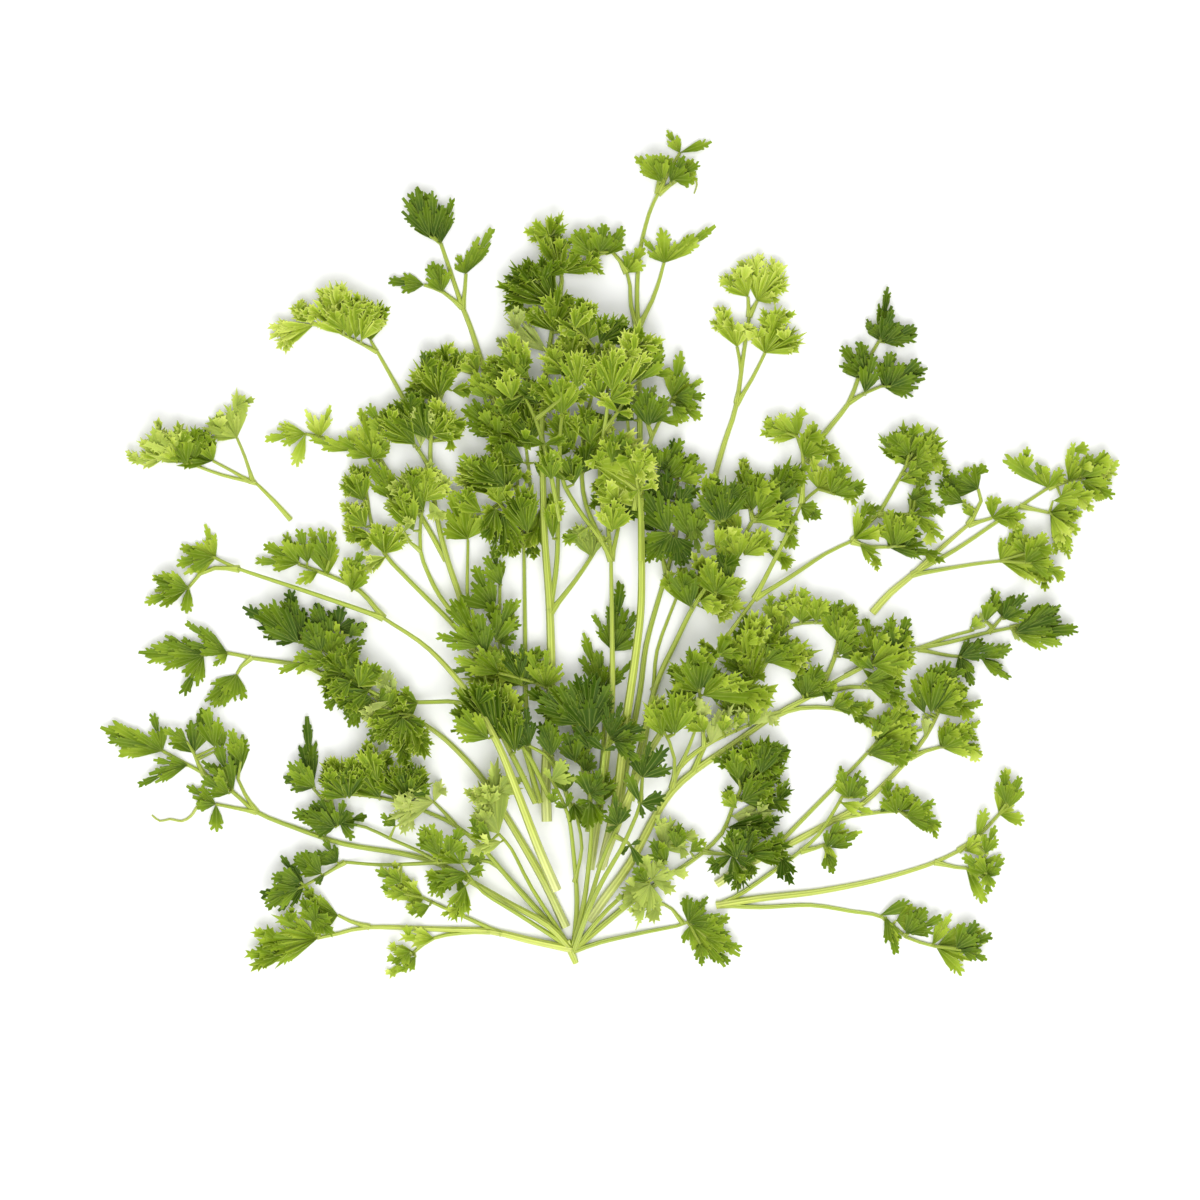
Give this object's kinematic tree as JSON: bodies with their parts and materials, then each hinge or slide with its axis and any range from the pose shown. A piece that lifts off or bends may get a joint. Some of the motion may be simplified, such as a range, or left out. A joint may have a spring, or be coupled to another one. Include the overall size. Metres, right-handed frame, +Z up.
{
  "type": "parsley bunch",
  "caption": "Fan-shaped bunch of curly parsley lying flat: leafy stems with lobed, toothed leaflets spreading from a short cut crown.",
  "frame": {"origin": "on the surface that the bunch lies on, under the middle of its bounding box", "axes": "+X across the fan towards its right-hand side, +Y from the cut crown towards the tips, +Z up from the surface"},
  "size_m": [0.3536, 0.2964, 0.0203],
  "materials": {
    "pale_green": "fresh yellow-green leaf and stem, satin with a waxy sheen",
    "mid_green": "fresh mid-green leaf and stem, satin with a waxy sheen",
    "dark_green": "fresh dark green leaf and stem, satin with a waxy sheen"
  },
  "bodies": {
    "root": {"loose_west": "pale_green", "loose_east": "pale_green", "north_east_pale": "pale_green", "north_east_dark": "dark_green", "north_west_pale": "pale_green", "far_east_low": "dark_green", "west_flat": "dark_green", "west_low": "mid_green", "west_pale": "pale_green", "centre_right": "dark_green", "behind_centre": "mid_green", "north_west_dark": "mid_green", "centre_left": "mid_green", "centre_thick": "mid_green", "centre_mid": "mid_green", "centre_tall": "pale_green", "north_right_flat": "mid_green", "top_dark": "dark_green", "top_curl": "mid_green", "bright_right": "pale_green", "upper_west_pale": "pale_green", "upper_west_curl": "dark_green", "mid_west_curl": "mid_green", "mid_west_bright": "mid_green", "mid_west_small": "pale_green", "inner_west_flat": "mid_green", "inner_west_mid": "mid_green", "west_band": "dark_green", "west_mid": "dark_green", "west_arch": "pale_green", "east_small": "pale_green", "east_bright": "mid_green", "east_fan": "mid_green", "south_east_pale": "pale_green", "south_east_long": "pale_green", "east_main": "mid_green", "inner_east": "mid_green", "inner_pale": "mid_green", "inner_dark_west": "dark_green", "inner_dark_mid": "dark_green", "inner_dark_east": "dark_green", "crown": "mid_green"}
  },
  "joints": []
}
